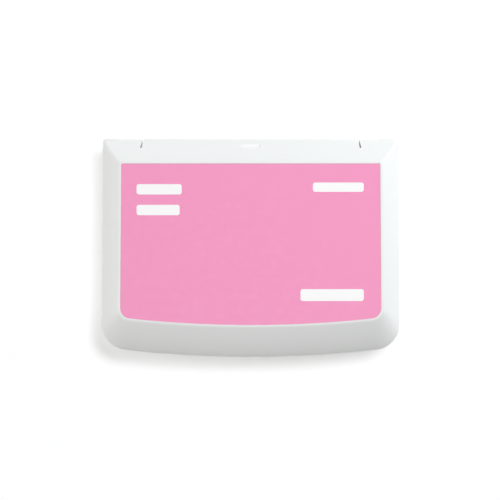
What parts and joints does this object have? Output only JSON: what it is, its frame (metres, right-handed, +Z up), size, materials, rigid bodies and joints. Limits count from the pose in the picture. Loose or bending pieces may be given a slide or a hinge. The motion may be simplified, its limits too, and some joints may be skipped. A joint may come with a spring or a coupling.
{
  "type": "ink pad",
  "caption": "Flat ink pad for rubber stamps: a white hinged case with a sunk coloured label on its bevelled lid, and a cloth-covered felt pad in a tray inside.",
  "frame": {"origin": "centre of the bottom of the closed case's bounding box, on the table", "axes": "+X across the width to the right, +Y to the hinge at the rear, +Z up"},
  "size_m": [0.1164, 0.0852, 0.02],
  "materials": {
    "white_plastic": "satin white injection-moulded plastic",
    "tray_plastic": "fine matt white plastic",
    "pink_label": "smooth printed pink label with plain white bars",
    "plain_paper": "plain white paper label",
    "inked_cloth": "fine woven cotton damp with pink ink",
    "inked_felt": "pressed felt soaked with pink ink",
    "soft_seal": "soft pale grey seal",
    "pin_steel": "drawn steel"
  },
  "bodies": {
    "base": {"base_shell": "white_plastic", "pad_tray": "tray_plastic", "reservoir_felt": "inked_felt", "top_felt": "inked_felt", "pad_cloth": "inked_cloth", "cloth_frame": "tray_plastic", "base_label": "plain_paper", "hinge_pin_left": "pin_steel", "hinge_pin_right": "pin_steel"},
    "lid": {"lid_shell": "white_plastic", "lid_liner": "tray_plastic", "lid_seal": "soft_seal", "lid_label": "pink_label"}
  },
  "joints": [
    {"name": "lid_hinge", "type": "hinge", "parent": "base", "child": "lid", "pos_m": [0, 0.04032, 0.01], "axis": [-1, 0, 0], "range_deg": [0, 180]}
  ]
}
